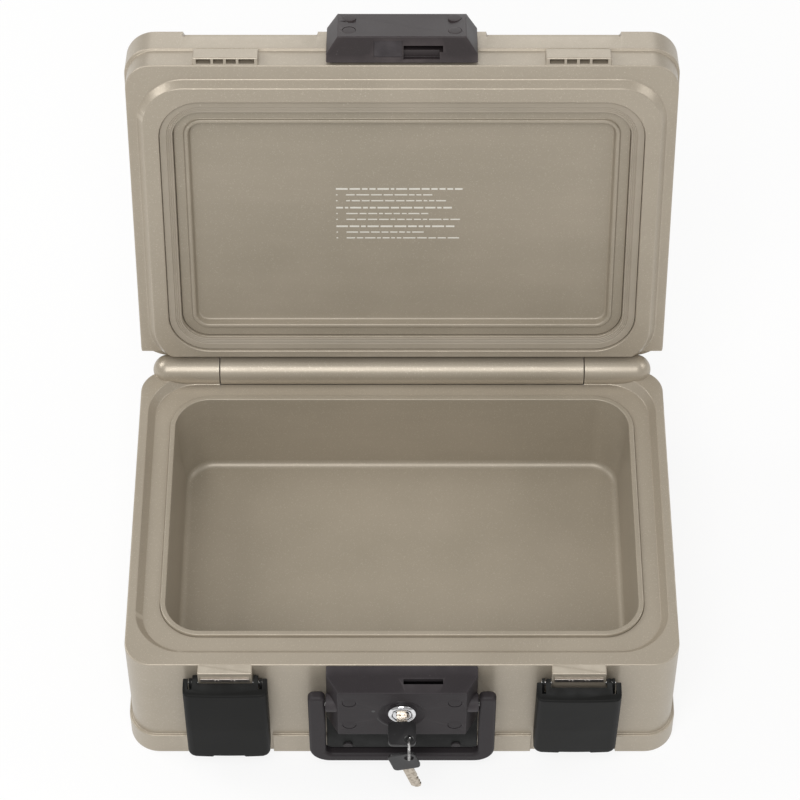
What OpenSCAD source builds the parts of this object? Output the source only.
// Fire-resistant document box, shown with its lid open.
// X runs to the right, Y to the back and Z up. The origin is the centre of the underside.
// The lid and both side latches are drawn closed first and then turned to where they rest.

/* [Body] */
// Outer width of the box
body_w = 400; // [340:5:480]
// Outer depth of the box, without hinge and lock
body_d = 270; // [240:5:330]
// Height of the base, from the floor to the parting face
base_h = 114; // [95:1:140]
// Height of the lid above the parting face
lid_h = 48; // [40:1:60]
// Radius of the upright outer corners
corner_r = 20; // [14:1:28]
// Thickness of the outer plastic skin
wall = 3.2; // [2.4:0.2:4.2]
// Height of the plinth around the bottom
plinth_h = 22; // [16:1:26]
// How far the plinth stands proud of the walls
plinth_out = 2.5; // [1:0.5:3]
// Height of the plain zone of the lid under its band
lid_plain_h = 21; // [18:1:23]
// How far the lid band stands proud of the walls
band_out = 2; // [1:0.5:3]

/* [Document well] */
// Width of the well at its mouth
well_w = 345; // [280:1:350]
// Depth of the well at its mouth, front to back
well_d = 212; // [180:1:216]
// Distance from the rear wall to the well
well_back = 25.5; // [24:0.5:28]
// Height of the well, from its floor to the top of the rib
well_h = 76; // [55:1:80]
// How far each wall of the well leans in on its way down
draft = 4.5; // [2:0.5:7]
// Corner radius of the mouth
well_r = 26; // [18:1:30]
// Thickness of the liner
liner_t = 2.5; // [1.6:0.1:3]
// Width of the sealing rib around the mouth
rib_w = 4; // [3:0.5:5]
// Height of the rib above the sunk face of the rim
rib_h = 2.5; // [1.5:0.5:3]
// Depth of the sunk face below the parting face
step_h = 6.5; // [5:0.5:8]
// Width of the sloping side of the sunk face
step_slope = 5; // [3:0.5:6]
// Width of the flat outer rim at the sides
rim_side = 6.5; // [5:0.5:9]
// Width of the flat outer rim at the front
rim_front = 11; // [9:0.5:14]
// Width of the flat outer rim at the back
rim_back = 4; // [3:0.5:6]
// Corner radius of the sunk face
step_r = 36; // [30:1:42]

/* [Hinge] */
// Diameter of the hinge barrel
barrel_d = 23; // [20:1:24]
// Length of the middle barrel, which belongs to the lid
barrel_l = 279; // [200:1:300]
// Outer reach of the base knuckles from the middle
knuckle_reach = 180; // [165:1:188]
// Diameter of the hinge pins
pin_d = 6; // [5:0.5:8]
// Angle that the lid stands open at rest
lid_open = 105; // [95:1:110]

/* [Lock] */
// Width of the lock housing where it meets the wall
housing_w = 109; // [100:1:116]
// Width of its front face
housing_face = 93; // [86:1:98]
// Depth of the housing
housing_out = 23.5; // [22:0.5:26]
// Height of the housing
housing_h = 55; // [52:1:62]
// Height of the lid cap
cap_h = 38; // [34:1:42]
// How far the lock axis lies below the parting face
lock_drop = 28; // [27:0.5:30]
// Diameter of the turning plug
plug_d = 14; // [12:0.5:14]
// Diameter of the bright ring around the plug
bezel_d = 21; // [20:0.5:24]
// Reach of the locking hook from the lock axis
hook_reach = 36; // [35:0.5:38]

/* [Handle] */
// Inside width between the handle arms
handle_in = 111; // [111:1:118]
// Width of each arm
arm_w = 12.3; // [10:0.1:13]
// Thickness of the handle, front to back
handle_t = 8; // [6:0.5:9]
// Distance of the pivot from the front wall
pivot_out = 15; // [14:0.5:16]
// Distance of the pivot below the parting face
pivot_drop = 26; // [24:1:30]
// Distance from the pivot to the bottom of the bar
handle_drop = 75; // [60:1:76]
// Height of the bar
bar_h = 9.5; // [8:0.5:12]
// Diameter of the handle pivots
pivot_d = 5; // [4:0.5:6]

/* [Side latches] */
// Distance of each latch from the middle
latch_x = 127; // [110:1:132]
// Width of a lever
lever_w = 60.5; // [58:0.5:64]
// Length of a lever
lever_l = 84; // [70:1:88]
// Thickness of a lever
lever_t = 16; // [12:0.5:17]
// Gap between the wall and the back of a lever
lever_gap = 5; // [5:0.5:6]
// Height of the keeper block on the lid
keeper_h = 16; // [15:0.5:16.5]
// Length of the swing link between its pins
link_l = 15; // [14:0.5:15]
// Diameter of the latch pins
latch_pin_d = 3; // [2.5:0.5:3]

/* [Keys] */
// Width and length of a key head
head_w = 20; // [18:0.5:22]
// Mean radius of the key ring
ring_r = 8; // [7.5:0.25:8]

/* [Hidden] */
$fn = 96;
gap = 0.2;                     // gap between pieces that are seated on each other
run = 0.05;                    // running clearance of a pin in its hole, on the radius
fit = 0.6;                     // clearance between lid and base around the rim
front = -body_d / 2;
rear = body_d / 2;
top = base_h;                  // parting face of base and lid
hinge_y = rear + 1;
sunk = top - step_h;           // level of the sunk face
rib_top = sunk + rib_h;
well_y = rear - well_back - well_d / 2;
well_floor = rib_top - well_h;
rib_out_w = well_w + 2 * rib_w;
rib_out_d = well_d + 2 * rib_w;
rib_out_r = well_r + rib_w;
step_w = body_w - 2 * rim_side;
step_d = body_d - rim_front - rim_back;
step_y = (rim_front - rim_back) / 2;
fill_top = top - 14;           // top of the filled space in the base
barrel_r = barrel_d / 2;
lock_z = top - lock_drop;
face_y = front - housing_out;  // front face of lock housing and cap
pivot_y = front - pivot_out;
pivot_z = top - pivot_drop;
housing_z = top - 1 - housing_h;
latch_sides = [-1, 1];

// ---- shared shapes ----

// Rounded rectangle, w by d, with corner radius r
module round_rect(w, d, r) {
    square([w - 2 * r, d], center = true);
    square([w, d - 2 * r], center = true);
    for (x = [-1, 1], y = [-1, 1]) translate([x * (w / 2 - r), y * (d / 2 - r)]) circle(r);
}

// Upright block with rounded corners
module block(w, d, h, r) { linear_extrude(h) round_rect(w, d, r); }

// Block whose sides follow the outline pts, a list of [offset outwards, height] from low to high
module lofted(w, d, r, pts) {
    low = pts[0][1];
    high = pts[len(pts) - 1][1];
    outline = concat([[-r, low]], pts, [[-r, high]]);
    for (a = [0 : 3]) {
        long = (a % 2 == 0) ? d - 2 * r : w - 2 * r;
        reach = (a % 2 == 0) ? w / 2 : d / 2;
        cx = (a == 0 || a == 3) ? w / 2 - r : r - w / 2;
        cy = (a < 2) ? d / 2 - r : r - d / 2;
        translate([cx, cy, 0]) rotate(a * 90) rotate_extrude(angle = 90) translate([r, 0]) polygon(outline);
        rotate(a * 90) translate([reach, long / 2, 0]) rotate([90, 0, 0]) linear_extrude(long)
            polygon(outline);
    }
    translate([r - w / 2, r - d / 2, low]) cube([w - 2 * r, d - 2 * r, high - low]);
}

// Cylinder along X between two places
module bar_x(x0, x1, y, z, d) { translate([x0, y, z]) rotate([0, 90, 0]) cylinder(h = x1 - x0, d = d); }

// Cylinder along Y from y0 to y1, at x and z
module bar_y(x, z, y0, y1, d) { translate([x, y1, z]) rotate([90, 0, 0]) cylinder(h = y1 - y0, d = d); }

// Same children at the left and the right latch
module at_latches() { for (s = latch_sides) translate([s * latch_x, front, top]) children(); }

// Turns the lid's pieces from closed to where the lid rests
module opened() {
    translate([0, hinge_y, top]) rotate([-lid_open, 0, 0]) translate([0, -hinge_y, -top]) children();
}

// ---- base ----

// Solid under a hinge knuckle or over the lid barrel; side is 1 below and -1 above
module hinge_fairing(x0, x1, side) {
    translate([x0, hinge_y, top]) rotate([90, 0, 90]) linear_extrude(x1 - x0)
        polygon([[-3, 0], [barrel_r, 0], [barrel_r, -8 * side], [-1, -24 * side], [-3, -24 * side]]);
}

// Hinge knuckle with a round nose; s is its side, start its inner end and r its radius
module knuckle(s, start, r) {
    straight = knuckle_reach - start;
    translate([s * start, hinge_y, top]) rotate([0, s * 90, 0]) rotate_extrude() intersection() {
        union() {
            square([r, straight]);
            translate([0, straight]) circle(r);
        }
        square([r, straight + r]);
    }
}

module base_shell() {
    lug_w = 39;
    lug_h = 19.5;
    lug_out = 7.5;
    color([0.64, 0.6, 0.53]) difference() {
        union() {
            block(body_w, body_d, base_h, corner_r);
            difference() {
                block(body_w + 2 * plinth_out, body_d + 2 * plinth_out, plinth_h, corner_r + plinth_out);
                for (s = latch_sides) translate([s * latch_x - 31.5, front - plinth_out - 1, -1])
                    cube([63, plinth_out + 1, plinth_h + 2]);
                translate([-handle_in / 2, front - plinth_out - 1, -1])
                    cube([handle_in, plinth_out + 1, plinth_h + 2]);
            }
            at_latches() translate([-lug_w / 2, -lug_out, -lug_h]) cube([lug_w, lug_out + 1, lug_h]);
            for (s = [-1, 1]) {
                inner = barrel_l / 2 + 0.6;
                x0 = s > 0 ? inner : -knuckle_reach;
                x1 = s > 0 ? knuckle_reach : -inner;
                knuckle(s, inner, barrel_r);
                hinge_fairing(x0, x1, 1);
            }
        }
        // sunk face with its sloping side
        translate([0, step_y, 0]) lofted(step_w, step_d, step_r,
            [[-step_slope, sunk], [0, top], [0, top + 1]]);
        // mouth for the liner
        translate([0, well_y, fill_top - 1])
            block(rib_out_w + 2 * gap, rib_out_d + 2 * gap, 30, rib_out_r + gap);
        // filled space
        translate([0, 0, wall]) block(body_w - 2 * wall, body_d - 2 * wall, fill_top - wall, corner_r - wall);
        // trough for the lid barrel
        bar_x(-barrel_l / 2 - 0.6, barrel_l / 2 + 0.6, hinge_y, top, barrel_d + 1);
        // bores for the hinge pins and the latch pins
        bar_x(-knuckle_reach + 4, knuckle_reach - 4, hinge_y, top, pin_d);
        at_latches() bar_x(-lug_w, lug_w, lug_pin[0], lug_pin[1], latch_pin_d);
    }
}

module base_liner() {
    color([0.6, 0.57, 0.5]) translate([0, well_y, 0]) difference() {
        union() {
            lofted(well_w, well_d, well_r,
                [[liner_t - draft, well_floor - liner_t], [liner_t, rib_top - 1], [liner_t, rib_top]]);
            translate([0, 0, fill_top + gap])
                block(rib_out_w, rib_out_d, rib_top - fill_top - gap, rib_out_r);
        }
        lofted(well_w, well_d, well_r, [[-draft, well_floor], [0, rib_top], [0, rib_top + 1]]);
    }
}

module base_insulation() {
    skin = wall + gap;
    color([0.8, 0.78, 0.74]) difference() {
        translate([0, 0, skin])
            block(body_w - 2 * skin, body_d - 2 * skin, fill_top - skin - gap, corner_r - skin);
        translate([0, well_y, 0]) lofted(well_w, well_d, well_r,
            [[liner_t + gap - draft, well_floor - liner_t - gap], [liner_t + gap, rib_top], [liner_t + gap, top]]);
    }
}

module hinge_pins() {
    color("silver") for (s = [-1, 1]) {
        inner = s * (barrel_l / 2 - 30);
        outer = s * (knuckle_reach - 4.2);
        bar_x(min(inner, outer), max(inner, outer), hinge_y, top, pin_d);
    }
}

// ---- lock housing on the base ----

// Plan of housing and cap: wide at the wall, narrower in front
module housing_plan(inset) {
    polygon([[-housing_w / 2 + inset, front], [housing_w / 2 - inset, front],
        [housing_w / 2 - inset, front - 9], [housing_face / 2 - inset, face_y + inset],
        [-housing_face / 2 + inset, face_y + inset], [-housing_w / 2 + inset, front - 9]]);
}

plug_spots = [[-38, 14], [-38, -15], [38, 14], [38, -15]]; // four round plugs around the lock
cap_spots = [[-38, 10], [-38, 28], [38, 10], [38, 28]];    // four round plugs on the cap
face_wall = 5.5;               // front wall of the housing
hook_y = front - 14.9;         // front face of the hook
hook_t = 3;
slot_x = 1;
slot_l = 28.5;

module back_plate() {
    color([0.14, 0.13, 0.14]) difference() {
        translate([gap - handle_in / 2, front - 3.5, 4])
            cube([handle_in - 2 * gap, 3.5 - gap, housing_z - 4 - gap]);
        for (s = [-1, 1]) bar_y(s * 40, 12, front - 4, front, 4);
    }
}

module lock_housing() {
    color([0.22, 0.2, 0.22]) difference() {
        union() {
            translate([0, 0, housing_z]) linear_extrude(housing_h) difference() {
                housing_plan(0);
                translate([-100, front - gap]) square([200, 1]);
            }
            bar_x(-handle_in / 2 + gap, handle_in / 2 - gap, pivot_y, pivot_z, 13.7);
        }
        // room for the lock works
        translate([-27, face_y + face_wall, housing_z + 5]) cube([69, housing_out - face_wall - 3, housing_h - 8]);
        // dish around the lock
        translate([0, face_y - 0.01, lock_z]) rotate([-90, 0, 0]) cylinder(h = 2.5, d1 = 34, d2 = 25);
        bar_y(0, lock_z, face_y - 1, front - 4, plug_d + 4.2);
        // slot that the hook comes up through
        translate([slot_x, hook_y - 0.7, top - 5]) cube([slot_l, hook_t + 1.4, 6]);
        bar_x(-handle_in / 2 - 1, -handle_in / 2 + 14, pivot_y, pivot_z, pivot_d);
        bar_x(handle_in / 2 - 14, handle_in / 2 + 1, pivot_y, pivot_z, pivot_d);
        // counterbores of the four screws, and the screw holes
        for (p = plug_spots) {
            bar_y(p[0], lock_z + p[1], face_y - 1, face_y + 2.5, 10);
            bar_y(p[0], lock_z + p[1], face_y, face_y + 6, 7.4);
            bar_y(p[0], lock_z + p[1], face_y, front + 1, 4);
        }
    }
}

module housing_plugs() {
    color([0.2, 0.19, 0.2]) for (p = plug_spots)
        bar_y(p[0], lock_z + p[1], face_y + 0.3, face_y + 2.3, 9.8);
}

// Round-head screw along Y, with its head in front
module screw_y(x, z, y0, head, long) {
    bar_y(x, z, y0, y0 + 3, head);
    bar_y(x, z, y0 + 3, y0 + long, 3.9);
}

module housing_screws() {
    color("silver") {
        for (p = plug_spots) screw_y(p[0], lock_z + p[1], face_y + 2.9, 7.2, housing_out - 3.2);
        for (s = [-1, 1]) bar_y(s * 40, 12, front - 4, front - gap, 3.9);
        for (s = [-1, 1]) bar_y(s * 40, 12, front - 5, front - 3.6, 7);
    }
}

module lock_barrel() {
    color("silver") difference() {
        bar_y(0, lock_z, face_y - 0.5, face_y + 7.7, plug_d + 4);
        bar_y(0, lock_z, face_y - 1, face_y + 9, plug_d + 2 * run);
    }
}

module lock_nut() {
    color("silver") difference() {
        translate([0, face_y + 7.4, lock_z]) rotate([90, 0, 0]) cylinder(h = 1.8, d = 27, $fn = 6);
        bar_y(0, lock_z, face_y + 5, face_y + 8, plug_d + 4.1);
    }
}

module lock_bezel() {
    color([0.85, 0.85, 0.86]) difference() {
        bar_y(0, lock_z, face_y - 2, face_y + 2.4, bezel_d);
        bar_y(0, lock_z, face_y - 0.6, face_y + 3, plug_d + 4.1);
        bar_y(0, lock_z, face_y - 3, face_y + 3, plug_d + 0.6);
    }
}

module handle_pins() {
    color("silver") for (s = [-1, 1]) {
        a = s * (handle_in / 2 - 13.8);
        b = s * (handle_in / 2 + arm_w - 2);
        bar_x(min(a, b), max(a, b), pivot_y, pivot_z, pivot_d);
    }
}

// ---- turning parts of the lock, and the keys ----

module lock_plug() {
    tail = plug_d - 4;
    color([0.88, 0.88, 0.89]) difference() {
        union() {
            bar_y(0, lock_z, face_y - 1.6, face_y + 8, plug_d);
            bar_y(0, lock_z, face_y + 8, front - 9.5, tail);
        }
        translate([-4.2, face_y - 3, lock_z - 1.3]) cube([8.4, 14.6, 2.6]);
    }
}

// Hook: hub, arm and barb, drawn as it rests with its arm to the right
module lock_hook() {
    arm_lo = 2;
    arm_hi = 9;
    color([0.75, 0.72, 0.6]) translate([0, hook_y, lock_z]) rotate([-90, 0, 0]) difference() {
        linear_extrude(hook_t) {
            circle(9);
            translate([0, arm_lo]) square([hook_reach, arm_hi - arm_lo]);
            translate([hook_reach - 3.4, -4]) square([3.4, 8]);
        }
        translate([0, 0, -1]) cylinder(h = hook_t + 2, d = plug_d - 4);
    }
}

module hook_nut() {
    color("silver") difference() {
        translate([0, hook_y + hook_t + 2.2, lock_z]) rotate([90, 0, 0]) cylinder(h = 2.2, d = 15, $fn = 6);
        bar_y(0, lock_z, hook_y, front, plug_d - 4);
    }
}

hole_x = 5;                    // hole of a key head, from the key's middle line
hole_in = 5.3;                 // and from the end of the head
hole_d = 7;
blade_t = 2;
head_t = 2.4;

// Flat key head, lying in XY, with its blade side at y = 0 and its end at -head_w
module key_head_flat() {
    difference() {
        translate([0, -head_w / 2, -head_t / 2]) block(head_w, head_w, head_t, 4);
        translate([hole_x, hole_in - head_w, -5]) cylinder(h = 10, d = hole_d);
        translate([-4, -3, -blade_t / 2 - 0.05]) cube([8, 4, blade_t + 0.1]);
    }
}

// Flat key blade with three cuts, starting inside the head
module key_blade_flat(long) {
    difference() {
        translate([-3.8, -2.9, -blade_t / 2]) cube([7.6, long + 2.9, blade_t]);
        for (i = [0 : 2]) translate([2.6 - 0.3 * i, long - 4 - 4 * i, -2]) cube([3, 2.2, 4]);
        translate([-3.8, long - 2.5, -2]) rotate(45) cube([4, 4, 8], center = true);
        translate([3.8, long, -2]) rotate(45) cube([4, 4, 8], center = true);
    }
}

key_y = face_y - 7;            // where the head of the key in the lock begins
module key_blade() { color("silver") translate([0, key_y, lock_z]) key_blade_flat(15.5); }
module key_head() { color([0.1, 0.1, 0.1]) translate([0, key_y, lock_z]) key_head_flat(); }

wire_r = 0.9;
rest = 0.4;                    // play where the ring and the spare key hang
ring_y = key_y - head_w + (hole_in - hole_d / 2) / 2;      // over the strip beside the hole
ring_z = lock_z + head_t / 2 - ring_r + wire_r + rest;
spare_z = ring_z - ring_r + wire_r + rest - hole_d / 2;
spare_tilt = 16;
module key_ring() {
    color("silver") translate([hole_x, ring_y, ring_z]) rotate([0, 90, 0])
        rotate_extrude() translate([ring_r, 0]) circle(wire_r, $fn = 24);
}

// Places a flat key so that it hangs from the ring by its hole
module hanging() {
    translate([hole_x, ring_y, spare_z]) rotate([0, -spare_tilt, 0]) rotate([-90, 0, 0])
        translate([-hole_x, head_w - hole_in, 0]) children();
}
module spare_blade() { color("silver") hanging() key_blade_flat(26); }
module spare_head() { color([0.1, 0.1, 0.1]) hanging() key_head_flat(); }

// ---- handle ----

module handle() {
    out_w = handle_in + 2 * arm_w;
    bottom = pivot_z - handle_drop;
    arm_top = pivot_z + 10.5;
    big_r = 15;
    small_r = 5;
    color([0.22, 0.21, 0.23]) difference() {
        translate([0, pivot_y + handle_t / 2, 0]) rotate([90, 0, 0]) linear_extrude(handle_t) difference() {
            translate([0, (bottom + arm_top) / 2]) union() {
                round_rect(out_w, arm_top - bottom, big_r);
                for (s = [-1, 1]) translate([s * (out_w - 30) / 2, (arm_top - bottom - 30) / 2])
                    round_rect(30, 30, 5.5);
            }
            translate([0, bottom + bar_h + 100]) round_rect(handle_in, 200, small_r);
        }
        bar_x(-out_w, out_w, pivot_y, pivot_z, pivot_d + 2 * run);
    }
}

// ---- side latches ----
// Local frame: x from the middle of the latch, y = 0 at the front wall, z = 0 at the parting face.

lug_pin = [-5, -15];           // y and z of the pin in the base
lever_pin_y = lug_pin[0] - 3;  // the lever's pin when it is latched
link_rise = sqrt(link_l * link_l - 9);
lever_pin_z = lug_pin[1] + link_rise;
swing_full = 180 - 2 * asin(3 / link_l);   // from latched to hanging straight
swing = [swing_full, swing_full - 8];      // left and right link, from latched to rest
lean = [0, 5];                             // left and right lever, top outwards at rest
arm_in = 24.3;
arm_out = 26.3;

// Link in its latched position; its straight parts are a little narrower than its round ends
module latch_link() {
    end_d = 6;
    flat = 5.4;
    color([0.6, 0.6, 0.62]) difference() {
        union() {
            for (s = [-1, 1]) {
                x0 = s > 0 ? arm_in : -arm_out;
                bar_x(x0, x0 + arm_out - arm_in, lug_pin[0], lug_pin[1], end_d);
                bar_x(x0, x0 + arm_out - arm_in, lever_pin_y, lever_pin_z, end_d);
                translate([x0, lug_pin[0], lug_pin[1]]) rotate([asin(3 / link_l), 0, 0])
                    translate([0, -flat / 2, 0]) cube([arm_out - arm_in, flat, link_l]);
                translate([x0, lever_pin_y - 5.5, lever_pin_z - flat / 2]) cube([arm_out - arm_in, 5.5, flat]);
            }
            translate([-arm_out, lever_pin_y - 5.5, lever_pin_z - flat / 2]) cube([2 * arm_out, 2, flat]);
        }
        bar_x(-50, 50, lug_pin[0], lug_pin[1], latch_pin_d + 2 * run);
        bar_x(-50, 50, lever_pin_y, lever_pin_z, latch_pin_d + 2 * run);
    }
}

// Lever in its latched position: a deep cover with a lip at its top that hooks over the keeper
module latch_lever() {
    crown = keeper_h + 4;
    back = -lever_gap;
    face = -lever_gap - lever_t;
    skin = 3;
    color([0.13, 0.13, 0.13]) difference() {
        union() {
            translate([0, (back + face) / 2, crown - lever_l]) block(lever_w, lever_t, lever_l, 3.5);
            translate([-23.7, back - 4, crown - 3.7]) cube([47.4, lever_gap + 3.2, 3.7]);
        }
        // hollow back
        translate([-lever_w / 2 + skin, back - lever_t + 2.5, crown - lever_l + 3])
            cube([lever_w - 2 * skin, lever_t, lever_l - 6.7]);
        // room for the lug between the lips, and for the link arms beside them
        translate([-20.1, -9.5, crown - 5]) cube([40.2, 20, 6]);
        for (s = [-1, 1]) translate([s * (arm_in + arm_out) / 2 - 1.5, -14.5, crown - 5]) cube([3, 20, 6]);
        // finger notch at the bottom
        translate([-11, face - 1, crown - lever_l - 1]) cube([22, lever_t + 2, 4]);
        bar_x(-lever_w, lever_w, lever_pin_y, lever_pin_z, latch_pin_d);
    }
}

module lever_pins() {
    color("silver") for (s = [-1, 1]) {
        x0 = s > 0 ? arm_in - 0.3 : 0.5 - lever_w / 2;
        x1 = s > 0 ? lever_w / 2 - 0.5 : 0.3 - arm_in;
        bar_x(x0, x1, lever_pin_y, lever_pin_z, latch_pin_d);
    }
}

// Puts a link where it rests; side is 0 for the left and 1 for the right
module link_at_rest(side) {
    translate([latch_sides[side] * latch_x, front, top]) translate([0, lug_pin[0], lug_pin[1]])
        rotate([swing[side], 0, 0]) translate([0, -lug_pin[0], -lug_pin[1]]) children();
}

// Puts a lever where it rests: it is carried by the link and turned back by the same angle
module lever_at_rest(side) {
    link_at_rest(side) translate([0, lever_pin_y, lever_pin_z]) rotate([lean[side] - swing[side], 0, 0])
        translate([0, -lever_pin_y, -lever_pin_z]) children();
}

module latch_plates() {
    color("silver") at_latches() translate([-17.5, -8.6, -9.3]) cube([35, 1.1, 3.6]);
}
module latch_pins() {
    color("silver") at_latches() bar_x(-arm_out - 0.4, arm_out + 0.4, lug_pin[0], lug_pin[1], latch_pin_d);
}
module left_link() { link_at_rest(0) latch_link(); }
module right_link() { link_at_rest(1) latch_link(); }
module left_lever() { lever_at_rest(0) latch_lever(); }
module right_lever() { lever_at_rest(1) latch_lever(); }
module left_lever_pins() { lever_at_rest(0) lever_pins(); }
module right_lever_pins() { lever_at_rest(1) lever_pins(); }

// ---- lid ----

seal_in = 10;                  // width of the seal groove
liner_w = rib_out_w + 2 * fit - 2 * seal_in;
liner_d = rib_out_d + 2 * fit - 2 * seal_in;
liner_r = rib_out_r + fit - seal_in;
seal_face = top - 0.5;         // underside of the shelf that holds the seal
shelf = top + 6;               // top of that shelf, and bottom of the filled space in the lid
lid_relief = 6;                // room left around the barrel along the lid's back edge
lid_fill_back = barrel_r + lid_relief - 2; // solid plastic kept behind the filled space, around the hinge
recess_w = 97;                 // width of each shallow recess in the lid's front upper edge
recess_x = 110.5;              // and its distance from the middle

module lid_shell() {
    ring_low = sunk + fit;
    color([0.6, 0.56, 0.5]) opened() difference() {
        union() {
            difference() {
                union() {
                    translate([0, 0, top + 0.15]) block(body_w, body_d, lid_h - 3, corner_r);
                    translate([0, 0, top + lid_plain_h]) lofted(body_w, body_d, corner_r,
                        [[0, -0.8], [band_out, 0], [band_out, lid_h - lid_plain_h - 3],
                         [band_out - 3, lid_h - lid_plain_h]]);
                    // raised ring that enters the sunk face of the base
                    translate([0, step_y, 0]) lofted(step_w, step_d, step_r,
                        [[-fit - step_slope * (top - ring_low) / step_h, ring_low], [-fit, top], [-fit, top + 2]]);
                }
                bar_x(-body_w, body_w, hinge_y, top, barrel_d + 2 * lid_relief);
            }
            // keepers for the side latches, with sloping tops
            for (s = latch_sides) translate([s * latch_x - 23.5, front, top])
                rotate([90, 0, 90]) linear_extrude(47)
                    polygon([[1, 0.4], [-6, 0.4], [-6, keeper_h - 2.4], [-0.8, keeper_h], [1, keeper_h]]);
            bar_x(-barrel_l / 2, barrel_l / 2, hinge_y, top, barrel_d);
            hinge_fairing(-barrel_l / 2, barrel_l / 2, -1);
        }
        // opening for the seal, then for the liner, then the filled space
        translate([0, well_y, top - 20])
            block(rib_out_w + 2 * fit, rib_out_d + 2 * fit, seal_face - top + 20, rib_out_r + fit);
        translate([0, well_y, top - 20]) block(liner_w + 2 * gap, liner_d + 2 * gap, 40, liner_r + gap);
        translate([0, -lid_fill_back / 2, shelf]) block(body_w - 2 * wall, body_d - 2 * wall - lid_fill_back,
            lid_h - 6 - wall, corner_r - wall);
        // bores for the hinge pins
        bar_x(-barrel_l / 2 - 1, barrel_l / 2 + 1, hinge_y, top, pin_d + 2 * run);
        // shallow recesses in the front upper edge
        for (s = [-1, 1]) translate([s * recess_x - recess_w / 2, front - band_out - 1, top + lid_h - 10])
            cube([recess_w, 6, 11]);
        // screw holes of the cap
        for (p = cap_spots) bar_y(p[0], top + p[1], front - 5, front + 6, 4);
    }
}

module lid_liner() {
    bead_w = 4;
    step_in = 7.5;
    color([0.57, 0.53, 0.47]) opened() translate([0, well_y, 0]) difference() {
        union() {
            translate([0, 0, top + 1.5]) block(liner_w, liner_d, 4.3, liner_r);
            translate([0, 0, top + 3]) block(liner_w - 2 * step_in, liner_d - 2 * step_in, 5.5, liner_r - step_in);
            translate([0, 0, top - 0.5]) block(liner_w - 2 * step_in, liner_d - 2 * step_in, 5, liner_r - step_in);
        }
        translate([0, 0, top - 5]) block(liner_w - 2 * step_in - 2 * bead_w,
            liner_d - 2 * step_in - 2 * bead_w, 10.5, liner_r - step_in - bead_w + 3);
    }
}

module lid_insulation() {
    skin = wall + gap;
    low = top + 8.5 + gap;
    color([0.8, 0.78, 0.74]) opened() translate([0, -lid_fill_back / 2, low])
        block(body_w - 2 * skin, body_d - 2 * skin - lid_fill_back, top + lid_h - wall - gap - low,
            corner_r - skin);
}

module lid_seal() {
    color([0.5, 0.47, 0.42]) opened() translate([0, well_y, rib_top + 0.3]) difference() {
        block(rib_out_w + 2 * fit - 2 * gap, rib_out_d + 2 * fit - 2 * gap,
            seal_face - rib_top - 0.35, rib_out_r + fit - gap);
        translate([0, 0, -1]) block(liner_w + 2 * gap, liner_d + 2 * gap, 20, liner_r + gap);
        translate([0, 0, -1]) difference() {
            block(rib_out_w - 9, rib_out_d - 9, 2.2, rib_out_r - 4.5);
            translate([0, 0, -1]) block(rib_out_w - 13, rib_out_d - 13, 5, rib_out_r - 6.5);
        }
    }
}

module lock_cap() {
    color([0.3, 0.27, 0.28]) opened() difference() {
        translate([0, 0, top + 0.5]) linear_extrude(cap_h) difference() {
            housing_plan(0);
            translate([-100, front - band_out - gap]) square([200, band_out + gap + 1]);
        }
        // sloping upper edge
        translate([-80, face_y, top + cap_h - 3]) rotate([45, 0, 0]) cube([160, 20, 20]);
        // pocket that the hook swings in
        translate([-9, hook_y - 1.2, top + 3.4]) cube([slot_l + 12, hook_t + 2.4, 14]);
        translate([slot_x, hook_y - 1.2, top - 1]) cube([slot_l, hook_t + 2.4, 10]);
        // shallow recess behind the slot, and the seat of the strike
        translate([slot_x, hook_y + hook_t, top - 1]) cube([26, 7, 5]);
        translate([-20.2, hook_y - 5.2, top - 1]) cube([20.4, 13.4, 4.4]);
        for (p = cap_spots) {
            bar_y(p[0], top + p[1], face_y - 1, face_y + 2.5, 10);
            bar_y(p[0], top + p[1], face_y, face_y + 6, 7.4);
            bar_y(p[0], top + p[1], face_y, front + 1, 4);
        }
    }
}

module cap_plugs() {
    color([0.28, 0.25, 0.26]) opened() for (p = cap_spots)
        bar_y(p[0], top + p[1], face_y + 0.3, face_y + 2.3, 9.8);
}
module cap_screws() {
    color("silver") opened() for (p = cap_spots) screw_y(p[0], top + p[1], face_y + 2.9, 7.2, housing_out - 0.4);
}
module strike_plate() {
    color("silver") opened() translate([-20, hook_y - 5, top + 0.7]) cube([20, 13, 2.5]);
}

base_shell();
base_liner();
base_insulation();
hinge_pins();
back_plate();
lock_housing();
housing_plugs();
housing_screws();
lock_barrel();
lock_nut();
lock_bezel();
handle_pins();
latch_plates();
latch_pins();
lid_shell();
lid_liner();
lid_insulation();
lid_seal();
lock_cap();
cap_plugs();
cap_screws();
strike_plate();
lock_plug();
lock_hook();
hook_nut();
key_blade();
key_head();
key_ring();
spare_blade();
spare_head();
handle();
left_link();
left_lever();
left_lever_pins();
right_link();
right_lever();
right_lever_pins();
